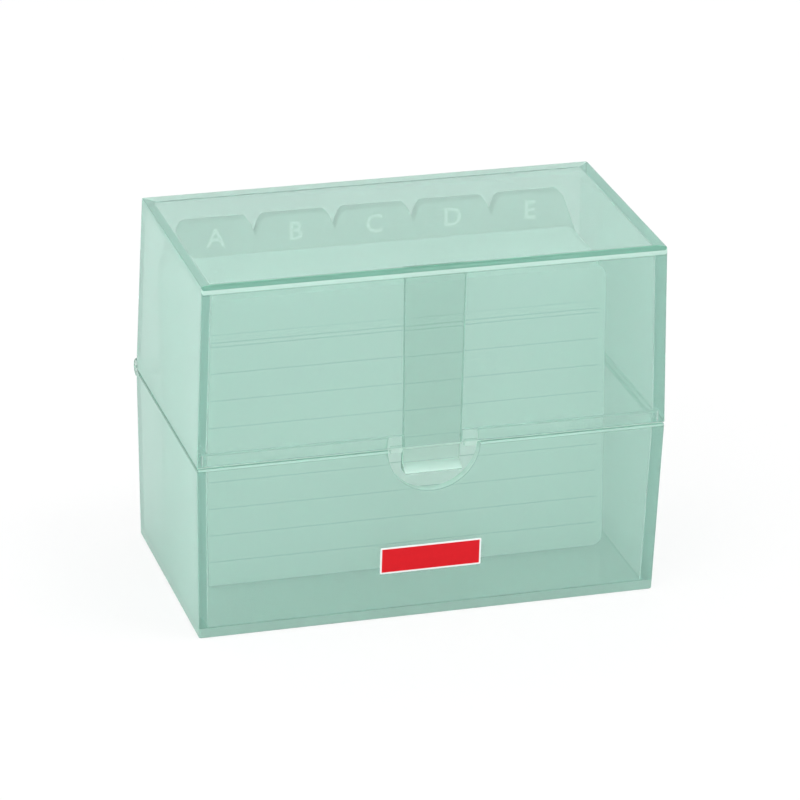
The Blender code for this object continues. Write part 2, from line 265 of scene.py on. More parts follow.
@named
class CARDBOX_PG_finishes(PropertyGroup):
    """Colours and surfaces."""

    mint_clear: colour((0.98, 1.0, 0.99), "What the clear plastic lets through a wall")
    haze_through: share(0.5, "How much of its light the haze lets through")
    # How much light the pale haze that paints light lets through.
    pale_through: share(0.15, "How much of its light the pale haze lets through")
    mint_veil: colour((0.575, 0.825, 0.745), "Colour of the haze in the plastic")
    # Colour of the pale haze that paints light on chosen faces.
    mint_pale: colour((0.80, 0.97, 0.90), "Colour of the haze on cut and sloped edges")
    # Colour of the dark haze that paints shade on dark edges, and that gives the darker tint behind the
    # strip.
    mint_deep: colour((0.26, 0.53, 0.42), "Colour of the haze on dark edges and behind the strip")
    mint_depth: colour((0.85, 0.91, 0.90), "Colour that thick plastic turns to")
    mint_density: number(100.0, "How fast thick plastic darkens, for each metre")
    plastic_ior: number(1.5, "How much the plastic bends light")
    paper: colour((0.89, 0.99, 0.955), "Colour of the cards")
    ruling: colour((0.58, 0.73, 0.68), "Colour of the ruled lines")
    tab_film: colour((0.69, 0.74, 0.71), "Colour of the dividers")
    letter: colour((1.0, 1.0, 0.99), "Colour of the letters")
    label_red: colour((0.77, 0.006, 0.014), "Colour of the label")
    label_white: colour((0.93, 0.92, 0.92), "Colour of the label's border")
    floor: colour((0.72, 0.72, 0.72), "Colour of the floor")


@named
class CARDBOX_PG_faces(PropertyGroup):
    """How much haze each kind of face has, how much pale haze paints light on it and how much dark haze
    paints shade on it.
    """

    wall: look((0.29, 0.0, 0.0), "The walls")
    # Painted light: more, slightly pale haze makes the outsides of the side walls lighter.
    side: look((0.52, 0.15, 0.0), "The outsides of the side walls")
    # Painted light: pale haze lightens the shaded band outside the tray's floor.
    foot: look((0.50, 0.4, 0.0), "The outside of the tray's floor")
    # Painted light: pale haze lightens the left and rear borders of the top.
    border: look((0.30, 0.2, 0.0), "The left border of the top")
    rear: look((0.50, 0.6, 0.0), "The rear border of the top")
    # Painted shade: a dark band on the front rounding of the top.
    brow: look((0.80, 0.0, 1.0), "The rounded front edge of the top")
    # Painted highlights: a light band under that rounding and one along the parting line.
    glow: look((0.92, 0.5, 0.0), "The light band under that edge")
    ledge: look((0.92, 0.3, 0.0), "The light band at the parting line")
    # Painted shade: dark lines under those painted highlights.
    line: look((0.35, 0.0, 1.0), "The dark lines under the light bands")
    # Painted shade on the lid's lowest edge.
    rim: look((0.35, 0.0, 0.6), "The lid's lowest edge")
    # Painted light: pale haze lightens the level faces inside the parting line.
    hidden: look((0.30, 1.0, 0.0), "The level faces inside the parting line")
    mate: look((0.03, 0.0, 0.0), "The upright faces that meet inside it")
    strip: look((0.34, 0.0, 1.0), "The back of the strip")
    # Painted light: pale haze lightens the tongue and the notch's cut edges, and paints a highlight on the
    # tongue's sloped end.
    tongue: look((0.32, 0.8, 0.0), "The tongue")
    slope: look((0.80, 0.6, 0.0), "The tongue's sloped end")
    cut: look((0.70, 0.9, 0.0), "The edges of the notch and tongue")


@named
class CARDBOX_PG_studio(PropertyGroup):
    """Camera and light."""

    yaw: angle(17.06, "Turn of the camera round the box")
    pitch: angle(23.64, "How far the camera looks down")
    roll: angle(-1.467, "Tilt of the camera about its view")
    distance: length(1071.7, "Distance of the camera from the box's middle")
    aim_right: length(-0.611, "How far right of the view's middle the box's middle lies")
    aim_down: length(-1.017, "How far below the view's middle the box's middle lies")
    lens: number(194.6, "Focal length in millimetres")
    floor_size: length(9000.0, "Width of the floor")
    floor_gap: length(0.05, "Gap under the box")
    floor_white: share(0.75, "How much of the floor is plain white to the camera")
    floor_through: share(0.25, "How much of it is plain white through the plastic")
    floor_glow: number(1.05, "Brightness of that white")
    sky: number(0.78, "Brightness of the light from all sides")
    sky_left: number(0.95, "How much brighter the light from the left is")
    sky_top: number(0.42, "How much brighter the light from above is")


class CARDBOX_PG_settings(PropertyGroup):
    """All that a user can change."""

    mouldings: PointerProperty(type=CARDBOX_PG_mouldings)
    closure: PointerProperty(type=CARDBOX_PG_closure)
    cards: PointerProperty(type=CARDBOX_PG_cards)
    label: PointerProperty(type=CARDBOX_PG_label)
    finishes: PointerProperty(type=CARDBOX_PG_finishes)
    faces: PointerProperty(type=CARDBOX_PG_faces)
    studio: PointerProperty(type=CARDBOX_PG_studio)


CLEAR_MINT = "clear_mint"
# Name of the stored haze, painted light and painted shade of each face.
FACE_HAZE_AND_PAINTED_LIGHT = "face_look"

# Steps that round shapes are made in
CORNER_STEPS = 8
SOFT_STEPS = 6
RING_STEPS = 64
NOTCH_STEPS = 160
SHOULDER_STEPS = 10
CARD_CORNER_STEPS = 7
BEVEL_STEPS = 3
LETTER_STEPS = 4

# How shapes are joined and shaded
MERGE_GAP = 0.0005 * MM
OVERRUN = 1.0 * MM
SHARP = math.radians(38.0)
FACE_WEIGHT = 100
FLARE_BEND = 0.3

# Parts of a face's normal that tell which way it looks
BARELY = 0.03
HARDLY = 0.06
PARTLY = 0.3
BROW_END = 0.45
HALFWAY = 0.5
MOSTLY = 0.7
UPRIGHT = 0.9
LEVEL = 0.95
FLAT = 0.98
DEAD_FLAT = 0.9995

# Noise, as scale and detail
PLASTIC_WAVES = (90.0, 2.0)
PLASTIC_SCUFFS = (1400.0, 4.0)
CARD_FIBRES = (2600.0, 5.0)
CARD_CLOUDS = (60.0, 2.0)
FILM_CLOUDS = (120.0, 3.0)
FILM_GRAIN = (3000.0, 3.0)
LABEL_INK = (900.0, 4.0)
FLOOR_CLOUDS = (3.0, 2.0)

# Bumps, as strength and height
PLASTIC_BUMP = (0.12, 0.12 * MM)
CARD_BUMP = (0.3, 0.02 * MM)
FILM_BUMP = (0.2, 0.01 * MM)
LABEL_BUMP = (0.15, 0.01 * MM)

# Roughness, as its least and what noise adds
PLASTIC_ROUGHNESS = (0.01, 0.03)
CARD_ROUGHNESS = (0.75, 0.15)
FILM_ROUGHNESS = (0.4, 0.2)
LABEL_ROUGHNESS = (0.45, 0.1)
PRINT_ROUGHNESS = 0.5
FLOOR_ROUGHNESS = 0.9

# How bright the darker spots of a colour are, and other shares
CARD_SPOTS = 0.95
FILM_SPOTS = 0.94
LABEL_SPOTS = 0.9
FLOOR_SPOTS = 0.99
CARD_MOTTLE = 0.3
FAINT_LINE = 0.6
LABEL_GLOSS = 0.2

# Light
MOST_BOUNCES = 32
DIFFUSE_BOUNCES = 8
LAMPS = (
    # Name, place, size and power
    ("key_lamp", (-0.9, -0.9, 1.2), 0.9, 4.0),
    ("top_lamp", (0.35, -0.25, 1.25), 0.35, 3.8),
)


class Maker:
    """Adds nodes to one tree."""

    def __init__(self, tree):
        self.tree = tree

    def add(self, kind, settings=None, sockets=None):
        """Adds a node with its settings, then fills or links its sockets."""
        node = self.tree.nodes.new(kind)
        for name, value in (settings or {}).items():
            setattr(node, name, value)
        for name, value in (sockets or {}).items():
            self.fill(node.inputs[name], value)
        return node

    def fill(self, socket, value):
        """Links a socket, or gives it a plain value."""
        if isinstance(value, Value):
            value = value.socket
        if isinstance(value, bpy.types.NodeSocket):
            self.tree.links.new(value, socket)
        else:
            socket.default_value = value

    def parts(self, vector):
        """A vector's three numbers."""
        node = self.add("ShaderNodeSeparateXYZ", None, {0: vector})
        return [Value(self, socket) for socket in node.outputs]

    def place(self):
        """Where a point lies on the object."""
        return self.add("ShaderNodeTexCoord").outputs["Object"]

    def out(self, kind, sockets, settings=None):
        """The first output of a node."""
        return self.add(kind, settings, sockets).outputs[0]

    def vector(self, *parts):
        """A vector from three numbers."""
        return self.out("ShaderNodeCombineXYZ", dict(enumerate(parts)))

    def mix(self, factor, first, second):
        """A colour between two colours."""
        node = self.add("ShaderNodeMix", {"data_type": "RGBA"}, {0: factor, 6: first, 7: second})
        return node.outputs[2]

    def mix_shader(self, factor, first, second):
        """A shader between two shaders."""
        return self.out("ShaderNodeMixShader", {0: factor, 1: first, 2: second})

    def noise(self, place, scale, detail):
        """Soft noise about one half."""
        node = self.add("ShaderNodeTexNoise", None, {"Vector": place, "Scale": scale, "Detail": detail})
        return Value(self, node.outputs["Fac"])

    def spotted(self, noise, colour, part):
        """A colour with darker spots."""
        return self.mix(noise, tint(colour), tint(colour, part))

    def bump(self, height, strength, distance):
        """A normal from a height."""
        sockets = {"Height": height, "Strength": strength, "Distance": distance}
        return self.out("ShaderNodeBump", sockets)

    def paint(self, sockets):
        """A surface from the sockets of the common shader."""
        return self.out("ShaderNodeBsdfPrincipled", sockets)


def operator_of(operation, turned=False):
    """A Math node with two inputs, as a way to join a value to another."""
    def joined(value, other):
        pair = (other, value) if turned else (value, other)
        return value.maths(operation, *pair)
    return joined


class Value:
    """A number in a node tree, which sums are written with."""

    def __init__(self, maker, socket):
        self.maker = maker
        self.socket = socket

    def maths(self, operation, *values):
        """The result of a Math node."""
        sockets = dict(enumerate(values))
        return Value(self.maker, self.maker.out("ShaderNodeMath", sockets, {"operation": operation}))

    __add__ = __radd__ = operator_of("ADD")
    __mul__ = __rmul__ = operator_of("MULTIPLY")
    __sub__ = operator_of("SUBTRACT")
    __rsub__ = operator_of("SUBTRACT", True)
    __truediv__ = operator_of("DIVIDE")
    __lt__ = operator_of("LESS_THAN")
    __gt__ = operator_of("GREATER_THAN")
    over = operator_of("MAXIMUM")

    def __abs__(self):
        return self.maths("ABSOLUTE", self)

    def rough(self, least, change):
        """Roughness from noise."""
        return least + self * change

    def wrapped(self, pitch):
        """The distance to the nearest whole number of pitches."""
        return abs(self.maths("WRAP", self, pitch / 2, -pitch / 2))


def tint(colour, part=1.0):
    """A setting's colour or a darker one, with its fourth number."""
    return (*(channel * part for channel in colour), 1.0)


def new_material(name, recipe, *settings):
    """A material whose output a recipe fills."""
    material = bpy.data.materials.new(name)
    material.use_nodes = True
    material.node_tree.nodes.clear()
    maker = Maker(material.node_tree)
    maker.add("ShaderNodeOutputMaterial", None, recipe(maker, *settings))
    return material


def mint_plastic(maker, finishes):
    """Clear mint plastic with soft waves, fine scuffs and a haze that differs from face to face, painting
    light and shade on chosen faces.
    """
    place = maker.place()
    look = maker.add("ShaderNodeAttribute", {"attribute_name": FACE_HAZE_AND_PAINTED_LIGHT}).outputs["Vector"]
    # A face's share of haze, of pale haze that paints light, and of dark haze that paints shade (behind the
    # strip the darker tint of the thicker plastic).
    veil, pale, deep = maker.parts(look)
    normal = maker.bump(maker.noise(place, *PLASTIC_WAVES), *PLASTIC_BUMP)
    glass = maker.paint({
        "Base Color": tint(finishes.mint_clear),
        "Roughness": maker.noise(place, *PLASTIC_SCUFFS).rough(*PLASTIC_ROUGHNESS),
        "IOR": finishes.plastic_ior,
        "Transmission Weight": 1.0,
        "Normal": normal,
    })
    # The plain haze, the pale haze that paints light and the dark haze that paints shade.
    hazes = []
    for shade, through in (
        (finishes.mint_veil, finishes.haze_through),
        (finishes.mint_pale, finishes.pale_through),
        (finishes.mint_deep, finishes.haze_through),
    ):
        sockets = {"Color": tint(shade), "Normal": normal}
        front = maker.out("ShaderNodeBsdfDiffuse", sockets)
        behind = maker.out("ShaderNodeBsdfTranslucent", sockets)
        hazes.append(maker.mix_shader(through, front, behind))
    haze = maker.mix_shader(deep, maker.mix_shader(pale, hazes[0], hazes[1]), hazes[2])
    sockets = {"Color": tint(finishes.mint_depth), "Density": finishes.mint_density}
    depth = maker.out("ShaderNodeVolumeAbsorption", sockets)
    return {"Surface": maker.mix_shader(veil, glass, haze), "Volume": depth}


def card_paper(maker, finishes, cards):
    """White card with fine fibres and, on its front, the ruled lines."""
    place = maker.place()
    across_card, _, height = maker.parts(place)
    up = (height - JOINT_PLACES[PACKS[0]].z) / math.cos(cards.lean)
    half = cards.line_width / 2
    lines = ((up - cards.row_start).wrapped(cards.row_pitch) < half) * (up < cards.rows_end)
    for rise, strength in (
        (cards.head_low, 1.0),
        (cards.head_high, 1.0),
        (cards.head_faint, FAINT_LINE),
    ):
        lines = lines.over((abs(up - rise) < half) * strength)
    _, facing, _ = maker.parts(maker.add("ShaderNodeTexCoord").outputs["Normal"])
    inside = abs(across_card) < cards.width / 2 - cards.line_margin
    fibres = maker.noise(place, *CARD_FIBRES)
    clouds = maker.noise(place, *CARD_CLOUDS)
    shade = maker.spotted((fibres + clouds) * CARD_MOTTLE, finishes.paper, CARD_SPOTS)
    printed = lines * inside * (facing < -HALFWAY)
    return {"Surface": maker.paint({
        "Base Color": maker.mix(printed, shade, tint(finishes.ruling)),
        "Roughness": fibres.rough(*CARD_ROUGHNESS),
        "Normal": maker.bump(fibres, *CARD_BUMP),
    })}


def divider_film(maker, finishes):
    """The dividers' thin film, faintly mottled."""
    place = maker.place()
    grain = maker.noise(place, *FILM_GRAIN)
    return {"Surface": maker.paint({
        "Base Color": maker.spotted(maker.noise(place, *FILM_CLOUDS), finishes.tab_film, FILM_SPOTS),
        "Roughness": grain.rough(*FILM_ROUGHNESS),
        "Normal": maker.bump(grain, *FILM_BUMP),
    })}


def letter_print(maker, finishes):
    """White print on the tabs."""
    grain = maker.noise(maker.place(), *FILM_GRAIN)
    return {"Surface": maker.paint({
        "Base Color": maker.spotted(grain, finishes.letter, FILM_SPOTS),
        "Roughness": PRINT_ROUGHNESS,
    })}


def label_film(maker, finishes, label):
    """Glossy red film with a white border."""
    place = maker.place()
    across_label, _, height = maker.parts(place)
    side = abs(across_label) - (label.width / 2 - label.border)
    end = abs(height - LABEL_MIDDLE) - (label.height / 2 - label.border)
    ink = maker.noise(place, *LABEL_INK)
    printed = maker.spotted(ink, finishes.label_red, LABEL_SPOTS)
    return {"Surface": maker.paint({
        "Base Color": maker.mix(side.over(end) > 0.0, printed, tint(finishes.label_white)),
        "Roughness": ink.rough(*LABEL_ROUGHNESS),
        "Specular IOR Level": LABEL_GLOSS,
        "Normal": maker.bump(ink, *LABEL_BUMP),
    })}


def arc(centre, radius, start, end, steps):
    """Points of an arc, as pairs."""
    turns = [start + (end - start) * step / steps for step in range(steps + 1)]
    return [(centre[0] + radius * math.cos(t), centre[1] + radius * math.sin(t)) for t in turns]


def circle(centre, radius, steps):
    """Points of a whole circle, as pairs."""
    return arc(centre, radius, 0.0, math.tau, steps)[:-1]


def rounded_outline(half_width, half_height, radius, steps):
    """A rectangle with round corners about the middle, as pairs."""
    outline = []
    for quarter, (side, end) in enumerate(((1, 1), (-1, 1), (-1, -1), (1, -1))):
        centre = (side * (half_width - radius), end * (half_height - radius))
        start = quarter * math.pi / 2
        outline += arc(centre, radius, start, start + math.pi / 2, steps)
    return outline


def front_shares(steps):
    """How far each point of such a rectangle faces the front."""
    turns = [(quarter + step / steps) * math.pi / 2 for quarter in range(4) for step in range(steps + 1)]
    return [max(0.0, -math.sin(turn)) for turn in turns]


def bend(start, corner, end, steps):
    """Points of a soft bend at a corner."""
    points = []
    for step in range(steps + 1):
        far = step / steps
        near = 1 - far
        points.append(tuple(
            near * near * a + 2 * near * far * b + far * far * c for a, b, c in zip(start, corner, end)
        ))
    return points


def softened(profile):
    """A profile of (inset, height, softness, corner), its corners rounded over their softness."""
    points = [(profile[0][0], profile[0][1], profile[0][3])]
    for before, here, after in zip(profile, profile[1:], profile[2:]):
        if not here[2]:
            points.append((here[0], here[1], here[3]))
            continue
        ends = []
        for other in (before, after):
            gap = math.dist(other[:2], here[:2])
            ends.append([here[axis] + (other[axis] - here[axis]) * here[2] / gap for axis in (0, 1)])
        points += [(*point, here[3]) for point in bend(ends[0], here[:2], ends[1], SOFT_STEPS)]
    points.append((profile[-1][0], profile[-1][1], profile[-1][3]))
    return points


def lofted(name, *bodies):
    """A mesh of bodies given as loops of points, with the first and last loop filled."""
    surface = bmesh.new()
    for loops in bodies:
        rings = [[surface.verts.new(point) for point in loop] for loop in loops]
        for near, far in zip(rings, rings[1:]):
            for here in range(len(near)):
                after = (here + 1) % len(near)
                surface.faces.new((near[here], near[after], far[after], far[here]))
        surface.faces.new(rings[0])
        surface.faces.new(rings[-1])
    bmesh.ops.recalc_face_normals(surface, faces=surface.faces)
    mesh = bpy.data.meshes.new(name)
    surface.to_mesh(mesh)
    surface.free()
    return mesh


def new_object(name, data):
    """An object in the scene."""
    thing = bpy.data.objects.new(name, data)
    bpy.context.scene.collection.objects.link(thing)
    return thing


def modified(name, data, *changes):
    """Data as a mesh of its own, changed by modifiers given as kind and settings."""
    draft = new_object(name + "_draft", data)
    for kind, settings in changes:
        change = draft.modifiers.new(kind.lower(), kind)
        for key, value in settings.items():
            if hasattr(change, key):
                setattr(change, key, value)
            else:
                change[key] = value
    depsgraph = bpy.context.evaluated_depsgraph_get()
    mesh = bpy.data.meshes.new_from_object(draft.evaluated_get(depsgraph), depsgraph=depsgraph)
    mesh.name = name
    bpy.data.objects.remove(draft)
    return mesh


def evened(name, mesh):
    """A smooth object with sharp edges, whose large flat faces keep straight normals."""
    mesh.shade_smooth()
    mesh.set_sharp_from_angle(angle=SHARP)
    even = ("WEIGHTED_NORMAL", {"keep_sharp": True, "weight": FACE_WEIGHT})
    return new_object(name, modified(name, mesh, even))


def softened_tool(name, mesh, width):
    """A simple shape with its edges rounded, as a mesh."""
    soften = {"width": width, "segments": BEVEL_STEPS, "limit_method": "ANGLE"}
    return modified(name, mesh, ("BEVEL", soften))


def combined(name, mesh, changes):
    """A mesh after joining shapes to it and cutting shapes out of it."""
    tools = [new_object(shape.name, shape) for _, shape in changes]
    steps = [
        ("BOOLEAN", {"operation": operation, "solver": "EXACT", "object": tool})
        for (operation, _), tool in zip(changes, tools)
    ]
    result = modified(name, mesh, *steps)
    for tool in tools:
        bpy.data.objects.remove(tool)
    return result


def finish_piece(piece, node, body, materials):
    """Hides the node that a piece stands for, gives the piece its materials and attaches it to its body."""
    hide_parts(node)
    slots = piece.data.materials
    for place, material in enumerate(materials):
        if place < len(slots):
            slots[place] = material
        else:
            slots.append(material)
    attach(piece, body)


class BoxShape:
    """Outlines and places that the tray and the lid share."""

    def __init__(self, settings):
        self.m = settings.mouldings
        self.c = settings.closure
        self.rear = HINGE.y - self.c.hinge_setback
        self.middle = (FRONT + self.rear) / 2
        self.half_depth = (self.rear - FRONT) / 2
        self.tray_slope = math.tan(self.m.tray_draft)
        self.lid_slope = math.tan(self.m.lid_draft)
        self.floor_inset = self.m.wall + (PARTING - self.m.floor) * self.tray_slope
        self.rim = PARTING + self.m.rim_gap
        self.rebate = self.rim + self.m.lip_height
        self.ear_outside = HALF_WIDTH - self.c.ear_inset
        self.ear_inside = self.ear_outside - self.c.ear_width

    def loops(self, outer, inner):
        """Level loops round the box along two profiles of (inset, height, softness)."""
        profile = [(*point, self.m.outer_corner) for point in outer]
        profile += [(*point, self.m.inner_corner) for point in inner]
        made = []
        for inset, height, corner in softened(profile):
            outline = rounded_outline(HALF_WIDTH - inset, self.half_depth - inset, corner, CORNER_STEPS)
            made.append([(x, self.middle + y, height) for x, y in outline])
        return made

    def front_blend(self, outer, front_outer, inner):
        """Such loops that follow another outer profile at the front."""
        shares = front_shares(CORNER_STEPS)
        return [
            [Vector(near).lerp(far, part) for near, far, part in zip(*pair, shares)]
            for pair in zip(self.loops(outer, inner), self.loops(front_outer, inner))
        ]

    def tray_front(self, depth, height):
        """The depth coordinate of a place behind the tray's front face."""
        return FRONT + (PARTING - height) * self.tray_slope + depth

    def lid_front(self, depth, height):
        """A place behind the lid's front face, as (depth coordinate, height)."""
        return (FRONT + (height - PARTING) * self.lid_slope + depth, height)

    def strip_half_width(self, height):
        """Half the width of the strip and its tongue at a height."""
        above = (height - PARTING) / (LID_TOP - PARTING)
        return (self.c.strip_rim_width + (self.c.strip_top_width - self.c.strip_rim_width) * above) / 2

    def turned_pair(self, stations):
        """Loops of round bodies about the hinge line at both sides, from (width, radius) stations."""
        mirrored = [(-x, radius) for x, radius in reversed(stations)]
        return [
            [[(x, y, z) for y, z in circle((HINGE.y, HINGE.z), radius, RING_STEPS)] for x, radius in ends]
            for ends in (stations, mirrored)
        ]


def across(profile, near, far):
    """Loops of a profile of (depth, height) pairs between two widths, at both sides."""
    return [[[(x, y, z) for y, z in profile] for x in ends] for ends in ((near, far), (-far, -near))]


def tray_skin(shape):
    """The tray before its cuts: floor, drafted walls, step and lip."""
    m = shape.m
    base = PARTING * shape.tray_slope
    step = m.step_round + m.step_line
    lip = m.wall - m.lip_thickness
    lip_top = PARTING + m.lip_height
    outer = [
        (base + m.flat_edge, 0.0, 0.0),
        (base, 0.0, m.foot_round),
        (base - m.foot_height * shape.tray_slope, m.foot_height, 0.0),
        (step * shape.tray_slope, PARTING - step, 0.0),
        (0.0, PARTING, m.step_round),
    ]
    inner = [
        (lip, PARTING, m.rim_round),
        (lip, lip_top, m.rim_round * 2),
        (m.wall, lip_top, m.rim_round * 2),
        (m.wall, PARTING, 0.0),
        (shape.floor_inset, m.floor, m.inside_round),
        (shape.floor_inset + m.flat_edge, m.floor, 0.0),
    ]
    return lofted("tray_skin", shape.loops(outer, inner))


def lid_skin(shape):
    """The lid before its cuts: top, drafted walls and the rebate over the tray's lip."""
    m = shape.m
    crown = (LID_TOP - PARTING) * shape.lid_slope
    rebate = m.wall - m.lip_thickness - m.lip_play
    ceiling = LID_TOP - m.top
    inside = m.wall + (ceiling - PARTING) * shape.lid_slope
    brow = m.brow_round + m.brow_line
    outer = [
        (crown + m.flat_edge, LID_TOP, 0.0),
        (crown + m.rear_border, LID_TOP, 0.0),
        (crown + m.wall, LID_TOP, 0.0),
        (crown, LID_TOP, m.crown_round),
        (crown - brow * shape.lid_slope, LID_TOP - brow, 0.0),
        (0.0, shape.rim, m.skirt_round),
    ]
    front_outer = [*outer[:3], (crown, LID_TOP, m.brow_round), *outer[4:]]
    inner = [
        (rebate, shape.rim, m.rim_round),
        (rebate, shape.rebate, m.rim_round),
        (m.wall, shape.rebate, m.rim_round),
        (inside, ceiling, m.inside_round),
        (inside + m.flat_edge, ceiling, 0.0),
    ]
    return lofted("lid_skin", shape.front_blend(outer, front_outer, inner))


def notch_cutter(shape):
    """The finger notch's cutter, flared at the wall's faces so that the edges are round."""
    c = shape.c
    wall = shape.m.wall
    flare = c.notch_round
    bend_end = flare * FLARE_BEND
    stations = [
        (-OVERRUN, flare),
        (0.0, flare),
        (bend_end, bend_end),
        (flare, 0.0),
        (wall - flare, 0.0),
        (wall - bend_end, bend_end),
        (wall, flare),
        (wall + OVERRUN, flare),
    ]
    loops = []
    for depth, wider in stations:
        outline = circle((0.0, PARTING), c.notch_radius + wider, NOTCH_STEPS)
        loops.append([(x, shape.tray_front(depth, z), z) for x, z in outline])
    return lofted("notch_cutter", loops)


def make_tray_mesh(shape):
    """The tray with its notch, hinge ears and knuckle seats."""
    c = shape.c
    inside, outside = shape.ear_inside, shape.ear_outside
    rim = c.ear_radius - c.ear_round
    ears = shape.turned_pair([
        (inside, rim),
        (inside + c.ear_round, c.ear_radius),
        (outside - c.ear_round, c.ear_radius),
        (outside, rim),
    ])
    end = inside - c.hinge_play
    bore = c.pin_radius + c.pin_play
    bores = shape.turned_pair([(end, bore), (outside + OVERRUN, bore)])
    seat = c.knuckle_radius + c.hinge_play
    seats = shape.turned_pair([(end - c.knuckle_width - c.hinge_play, seat), (inside, seat)])
    changes = [
        ("DIFFERENCE", lofted("seats", *seats)),
        ("UNION", lofted("ears", *ears)),
        ("DIFFERENCE", lofted("bores", *bores)),
        ("DIFFERENCE", notch_cutter(shape)),
    ]
    return combined("tray_shape", tray_skin(shape), changes)


def knuckle_profile(shape):
    """A knuckle from the side, round below and square above."""
    c = shape.c
    stop_turn = math.acos(-c.hinge_setback / c.stop_reach) - c.lid_stop
    reach = c.stop_reach * math.cos(stop_turn)
    drop = c.stop_reach * math.sin(stop_turn)
    front = c.hinge_setback + c.seat
    start = -math.asin(drop / c.knuckle_radius)
    end = math.acos(front / c.knuckle_radius) - math.pi
    profile = [(-front, c.knuckle_radius), (reach, c.knuckle_radius), (reach, -drop)]
    profile += arc((0.0, 0.0), c.knuckle_radius, start, end, RING_STEPS // 2)
    return [(HINGE.y + y, HINGE.z + z) for y, z in profile]


def strip_mesh(shape):
    """The strip behind the lid's front wall and the tongue that it ends in."""
    c = shape.c
    top = LID_TOP - shape.m.top / 2
    back = shape.m.wall + c.strip_thickness
    under = PARTING - c.tongue_length
    ledge = under + c.ledge_thickness
    profile = [shape.lid_front(*point) for point in (
        (c.seat, top),
        (back, top),
        (back, under),
        (c.tongue_recess, under),
        (c.tongue_recess, ledge),
        (shape.m.wall, ledge + c.ledge_rise),
        (shape.m.wall, PARTING - c.rim_dip),
        (c.seat, PARTING - c.rim_dip),
    )]
    loops = [[(side * shape.strip_half_width(z), y, z) for y, z in profile] for side in (-1, 1)]
    return softened_tool("strip", lofted("strip", loops), c.strip_round)


def skirt_mesh(shape):
    """The two short skirts beside the tongue."""
    c = shape.c
    bottom = PARTING - c.skirt_drop
    top = shape.rim + c.seat
    back = c.skirt_recess + c.skirt_thickness
    sides = ((c.skirt_recess, bottom), (back, bottom), (back, top), (c.skirt_recess, top))
    profile = [shape.lid_front(*point) for point in sides]
    near = c.strip_rim_width / 2 + c.skirt_gap
    far = c.notch_radius - c.skirt_play
    return softened_tool("skirts", lofted("skirts", *across(profile, near, far)), c.strip_round)


def make_lid_mesh(shape):
    """The lid with its strip, tongue, skirts, knuckles and pins."""
    c = shape.c
    inside, outside = shape.ear_inside, shape.ear_outside
    sweep = c.ear_radius + c.hinge_play
    end = inside - c.hinge_play
    sweeps = shape.turned_pair([(end, sweep), (outside + OVERRUN, sweep)])
    knuckles = across(knuckle_profile(shape), end - c.knuckle_width, end)
    pins = shape.turned_pair([
        (end - c.seat, c.pin_radius),
        (outside - c.pin_inset - c.ear_round, c.pin_radius),
        (outside - c.pin_inset, c.pin_radius - c.ear_round),
    ])
    changes = [
        ("DIFFERENCE", lofted("sweeps", *sweeps)),
        ("UNION", lofted("knuckles", *knuckles)),
        ("UNION", lofted("pins", *pins)),
        ("UNION", skirt_mesh(shape)),
        ("UNION", strip_mesh(shape)),
    ]
    return combined("lid_shape", lid_skin(shape), changes)


def outwards(shape, place, normal):
    """How far a face near the box's sides looks outwards."""
    return normal.x * place.x / HALF_WIDTH + normal.y * (place.y - shape.middle) / shape.half_depth


def tray_face(shape, place, normal):
    """The kind of a face of the tray, by its middle and normal."""
    m, c = shape.m, shape.c
    outside = outwards(shape, place, normal) > PARTLY
    arm = Vector((place.x, 0.0, place.z - PARTING))
    near_cut = abs(arm.length - c.notch_radius) < 2 * c.notch_round and place.y < FRONT + 2 * m.wall
    # The notch's cut edge gets painted light.
    if near_cut and normal.dot(arm) < -arm.length / 3:
        return "wall" if normal.y < -PARTLY else "cut"
    # The lip's top gets painted light.
    if place.z > PARTING + m.lip_height - 3 * m.rim_round and normal.z > PARTLY:
        return "hidden"
    if place.z > PARTING + m.rim_round:
        return "mate" if outside else "wall"
    # The band outside the floor gets painted light.
    if outside and place.z < m.foot_height:
        return "foot"
    # The parting step gets a painted highlight at the front and on its top, and a painted dark line on its
    # side roundings.
    if place.z > PARTING - m.step_round and normal.z > HARDLY:
        return "ledge" if -normal.y > abs(normal.x) or normal.z > LEVEL else "line"
    # The band under the step gets a painted dark line.
    if outside and place.z > PARTING - m.step_round - m.step_line:
        return "line"
    # The outsides of the side walls get painted light.
    return "side" if outside and abs(normal.x) > MOSTLY else "wall"


def tongue_face(shape, place, normal):
    """The kind of a face of the tongue or of the skirts beside it."""
    c = shape.c
    # Cut edges and the tongue get painted light, the strip's lower edge painted shade, and the sloped end a
    # painted highlight.
    if abs(normal.x) > MOSTLY or abs(place.x) > (c.strip_rim_width + c.skirt_gap) / 2:
        return "cut"
    if place.z > PARTING - 2 * c.rim_dip and normal.z < -MOSTLY:
        return "rim"
    return "slope" if normal.y < -PARTLY and normal.z > PARTLY else "tongue"


def top_face(shape, place, normal):
    """The kind of a face of the lid's top edge or of the border beside it, or nothing."""
    m = shape.m
    crown = (LID_TOP - PARTING) * shape.lid_slope
    # The rear and left borders of the top get painted light.
    if place.z > LID_TOP - m.crown_round and normal.z > FLAT:
        if place.y > shape.rear - crown - m.rear_border:
            return "rear"
        if place.x < crown + m.wall - HALF_WIDTH:
            return "border"
    # The front rounding gets a painted dark band above, a painted highlight below, and a painted dark line
    # under it.
    if place.z > LID_TOP - m.brow_round and -normal.y > abs(normal.x) and HARDLY < normal.z < DEAD_FLAT:
        return "brow" if normal.z > BROW_END else "glow"
    if LID_TOP - m.brow_round - m.brow_line < place.z < LID_TOP - m.brow_round and normal.y < -UPRIGHT:
        return "line"
    return None


